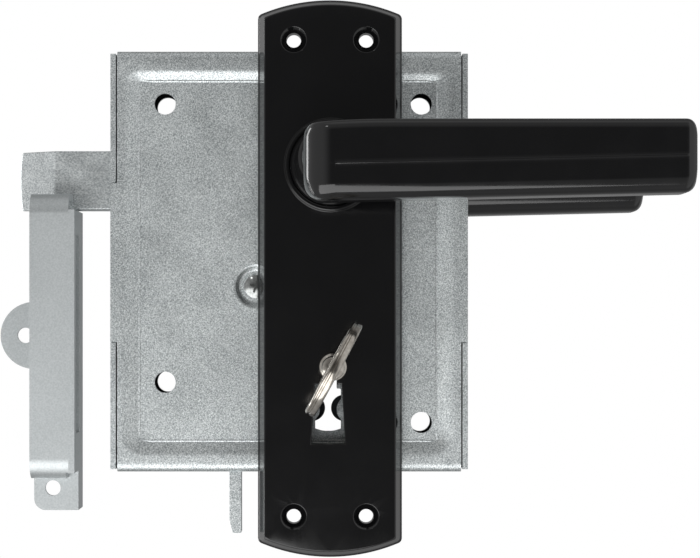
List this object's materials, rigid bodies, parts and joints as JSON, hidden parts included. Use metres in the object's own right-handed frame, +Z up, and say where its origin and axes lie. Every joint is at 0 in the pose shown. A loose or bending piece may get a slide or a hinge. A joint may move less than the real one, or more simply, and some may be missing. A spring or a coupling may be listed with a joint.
{
  "type": "rim lock",
  "caption": "Surface-mounted sheet-steel rim lock with latch, dead bolt, snib, lever handles, long plate, key and loose keeper.",
  "frame": {"origin": "spindle's axis on the plane of the case's rim, which lies against the door", "axes": "+X from the door's edge inwards, away from the bolts; +Y from the long plate towards the case's back; +Z up"},
  "size_m": [0.199, 0.1335, 0.1654],
  "materials": {
    "zinc_sheet": "zinc-plated sheet steel with fine spangle",
    "keeper_sheet": "satin zinc plate",
    "zinc_cast": "zinc-plated solid steel",
    "steel": "plain turned steel",
    "bright_steel": "bright plated",
    "nickel": "bright nickel plate",
    "brass": "sawn and tumbled",
    "black_plastic": "glossy moulded black"
  },
  "bodies": {
    "case": {"case_back": "zinc_sheet", "case_cover": "zinc_sheet", "cover_screw": "bright_steel", "cover_post": "steel", "bolt_guide_pin": "steel", "snib_guide_pins": "steel", "tumbler_pin": "steel", "spring_anchor": "steel", "spring_stop": "zinc_sheet", "outer_plate": "black_plastic", "latch_spring": "bright_steel", "tumbler_spring": "bright_steel"},
    "handles": {"outer_lever": "black_plastic", "inner_lever": "black_plastic", "spindle": "steel", "lever_pins": "steel", "follower": "brass"},
    "latch": {"latch_bolt": "zinc_cast", "latch_tail": "zinc_sheet"},
    "bolt": {"dead_bolt": "zinc_cast", "bolt_tail": "zinc_sheet"},
    "tumbler": {"tumbler": "brass"},
    "snib": {"snib": "zinc_sheet"},
    "key": {"key": "nickel"},
    "keeper": {"keeper": "keeper_sheet"}
  },
  "joints": [
    {"name": "handle_turn", "type": "hinge", "parent": "case", "child": "handles", "pos_m": [0, 0, 0], "axis": [0, 1, 0], "range_deg": [0, 50], "stiffness_Nm_per_rad": 1.2, "springref_deg": -20.05},
    {"name": "latch_slide", "type": "slide", "parent": "case", "child": "latch", "axis": [1, 0, 0], "range_m": [0, 0.0246], "deforming": ["latch_spring"]},
    {"name": "key_turn", "type": "hinge", "parent": "case", "child": "key", "pos_m": [0.0005, 0, -0.0593], "axis": [0, -1, 0], "range_deg": [0, 360.5]},
    {"name": "bolt_slide", "type": "slide", "parent": "case", "child": "bolt", "axis": [-1, 0, 0], "range_m": [0, 0.009]},
    {"name": "tumbler_lift", "type": "hinge", "parent": "case", "child": "tumbler", "pos_m": [0.032, 0, -0.033], "axis": [0, 1, 0], "range_deg": [0, 4], "stiffness_Nm_per_rad": 0.06, "springref_deg": -17.19, "deforming": ["tumbler_spring"]},
    {"name": "snib_slide", "type": "slide", "parent": "case", "child": "snib", "axis": [1, 0, 0], "range_m": [0, 0.008]},
    {"name": "keeper_part", "type": "slide", "parent": "case", "child": "keeper", "axis": [-1, 0, 0], "range_m": [0, 0.03]}
  ],
  "couplings": [
    {"joint": "latch_slide", "follows": "handle_turn", "m_per_rad": 0.028075},
    {"joint": "key_turn", "follows": "bolt_slide", "rad_per_m": 698.13}
  ]
}
